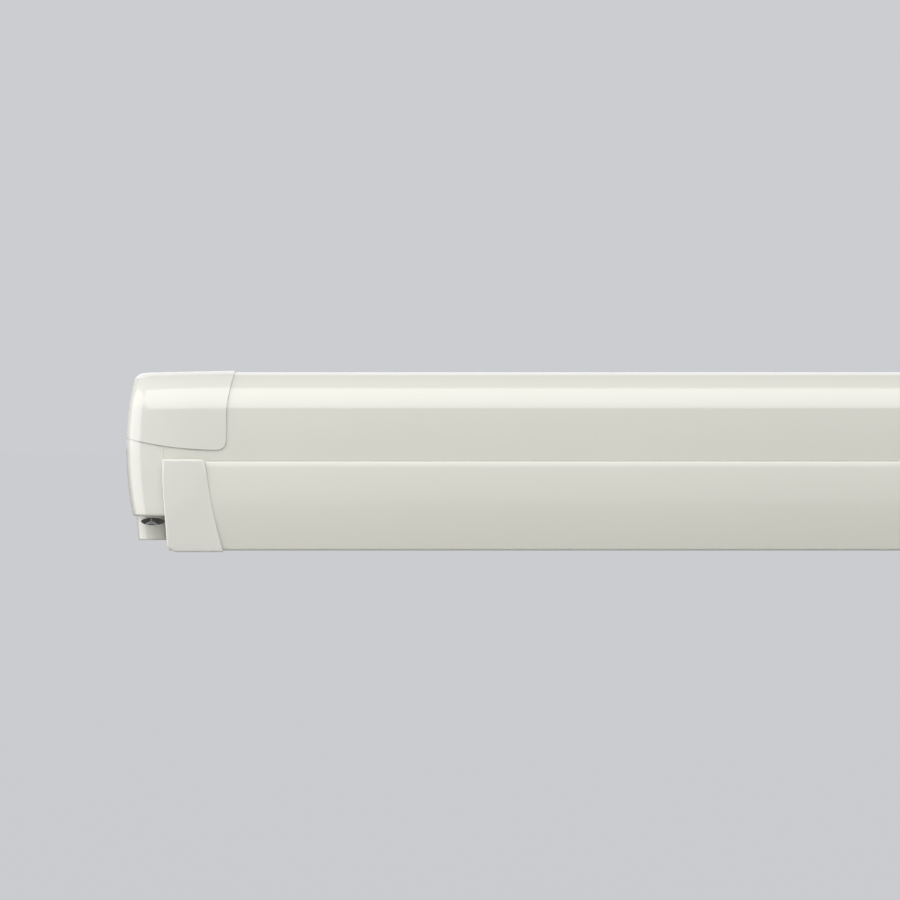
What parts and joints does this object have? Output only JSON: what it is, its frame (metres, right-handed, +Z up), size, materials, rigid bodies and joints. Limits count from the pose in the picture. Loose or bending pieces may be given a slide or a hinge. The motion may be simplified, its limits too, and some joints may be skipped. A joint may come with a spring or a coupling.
{
  "type": "roll out awning",
  "caption": "Closed wall cassette awning with a crank driven roller, folding spring arms, a lead rail and stowed telescopic legs.",
  "frame": {"origin": "wall plane at the centre bracket, on the line where hood and lead rail meet", "axes": "+X right along the awning seen from in front, +Y into the wall, +Z up"},
  "size_m": [2.6, 0.101, 0.122],
  "materials": {
    "paint": "satin cream paint",
    "cap": "satin cream moulded plastic",
    "rubber": "matt black rubber",
    "canvas": "woven grey canvas",
    "steel": "zinc plated steel",
    "alloy": "satin anodised",
    "cast": "die cast",
    "nylon": "black moulded nylon"
  },
  "bodies": {
    "cassette": {"back_profile": "paint", "hood_profile": "paint", "hood_seal": "rubber", "wall_brackets": "steel", "end_plate_left": "cast", "end_plate_right": "cast", "end_cover_left": "cap", "end_cover_right": "cap", "end_body_left": "cap", "end_body_right": "cap", "gearbox_body": "cast", "idler_bush": "nylon", "shoulder_bracket_left": "cast", "shoulder_bracket_right": "cast", "shoulder_pins": "steel"},
    "roller": {"roller_tube": "alloy", "canvas_roll": "canvas", "drive_plug": "nylon", "worm_wheel": "cast", "idler_plug": "nylon"},
    "crank": {"worm_shaft": "steel", "crank_eye": "steel"},
    "canopy": {"canopy_stretch": "canvas"},
    "lead_rail": {"lead_rail_profile": "paint", "rail_cap_left": "cap", "rail_cap_right": "cap", "front_bead": "rubber", "wrist_bracket_left": "cast", "wrist_bracket_right": "cast", "wrist_pins": "steel", "leg_pins": "steel"},
    "arm_left_upper": {"upper_arm_tube_left": "alloy", "shoulder_knuckle_left": "cast", "elbow_fork_left": "cast", "elbow_pin_left": "steel", "tension_spring_left": "steel"},
    "arm_left_fore": {"forearm_tube_left": "alloy", "elbow_knuckle_left": "cast", "wrist_knuckle_left": "cast"},
    "leg_left": {"leg_head_left": "nylon", "leg_tube_left": "alloy", "leg_clamp_left": "nylon"},
    "leg_left_inner": {"leg_inner_left": "alloy", "leg_foot_left": "rubber"},
    "leg_left_lever": {"leg_lever_left": "nylon"},
    "arm_right_upper": {"upper_arm_tube_right": "alloy", "shoulder_knuckle_right": "cast", "elbow_fork_right": "cast", "elbow_pin_right": "steel", "tension_spring_right": "steel"},
    "arm_right_fore": {"forearm_tube_right": "alloy", "elbow_knuckle_right": "cast", "wrist_knuckle_right": "cast"},
    "leg_right": {"leg_head_right": "nylon", "leg_tube_right": "alloy", "leg_clamp_right": "nylon"},
    "leg_right_inner": {"leg_inner_right": "alloy", "leg_foot_right": "rubber"},
    "leg_right_lever": {"leg_lever_right": "nylon"}
  },
  "joints": [
    {"name": "extend", "type": "hinge", "parent": "cassette", "child": "arm_left_upper", "pos_m": [-1.2, -0.0208, -0.032], "axis": [0, 0.1392, -0.9903], "range_deg": [0, 61.09]},
    {"name": "elbow_left", "type": "hinge", "parent": "arm_left_upper", "child": "arm_left_fore", "pos_m": [-0.05, -0.03367, -0.03381], "axis": [0, 0.1392, -0.9903], "range_deg": [-122.2, 0]},
    {"name": "wrist_left", "type": "hinge", "parent": "arm_left_fore", "child": "lead_rail", "pos_m": [-1.2, -0.04655, -0.03562], "axis": [0, 0.1392, -0.9903], "range_deg": [0, 61.1]},
    {"name": "shoulder_right", "type": "hinge", "parent": "cassette", "child": "arm_right_upper", "pos_m": [1.2, -0.0208, -0.032], "axis": [0, -0.1392, 0.9903], "range_deg": [0, 61.1]},
    {"name": "elbow_right", "type": "hinge", "parent": "arm_right_upper", "child": "arm_right_fore", "pos_m": [0.05, -0.03367, -0.03381], "axis": [0, -0.1392, 0.9903], "range_deg": [-122.2, 0]},
    {"name": "roller_spin", "type": "hinge", "parent": "cassette", "child": "roller", "pos_m": [0, -0.041, 0.025], "axis": [1, 0, 0], "range_deg": [-4167.97, 0]},
    {"name": "crank_spin", "type": "hinge", "parent": "cassette", "child": "crank", "pos_m": [-1.284, -0.06725, 0], "axis": [0, 0, 1], "range_deg": [-27087.28, 0]},
    {"name": "canopy_pull", "type": "slide", "parent": "cassette", "child": "canopy", "axis": [0, -0.9903, -0.1392], "range_m": [0, 2.001], "deforming": ["canopy_stretch"]},
    {"name": "leg_left_swing", "type": "hinge", "parent": "lead_rail", "child": "leg_left", "pos_m": [-1.235, -0.0895, -0.04], "axis": [0, 1, 0], "range_deg": [0, 90]},
    {"name": "leg_left_slide", "type": "slide", "parent": "leg_left", "child": "leg_left_inner", "axis": [1, 0, 0], "range_m": [0, 1]},
    {"name": "lever_left", "type": "hinge", "parent": "leg_left", "child": "leg_left_lever", "pos_m": [-0.031, -0.0895, -0.057], "axis": [0, -1, 0], "range_deg": [0, 90]},
    {"name": "leg_right_swing", "type": "hinge", "parent": "lead_rail", "child": "leg_right", "pos_m": [1.235, -0.071, -0.04], "axis": [0, -1, 0], "range_deg": [0, 90]},
    {"name": "leg_right_slide", "type": "slide", "parent": "leg_right", "child": "leg_right_inner", "axis": [-1, 0, 0], "range_m": [0, 1]},
    {"name": "lever_right", "type": "hinge", "parent": "leg_right", "child": "leg_right_lever", "pos_m": [0.031, -0.071, -0.057], "axis": [0, 1, 0], "range_deg": [0, 90]}
  ],
  "couplings": [
    {"joint": "elbow_left", "follows": "extend", "ratio": -2},
    {"joint": "wrist_left", "follows": "extend", "ratio": 1},
    {"joint": "shoulder_right", "follows": "extend", "ratio": 1},
    {"joint": "elbow_right", "follows": "extend", "ratio": -2},
    {"joint": "roller_spin", "follows": "extend", "ratio": -68.207},
    {"joint": "crank_spin", "follows": "extend", "ratio": -443.35},
    {"joint": "canopy_pull", "follows": "extend", "m_per_rad": 1.8757}
  ]
}
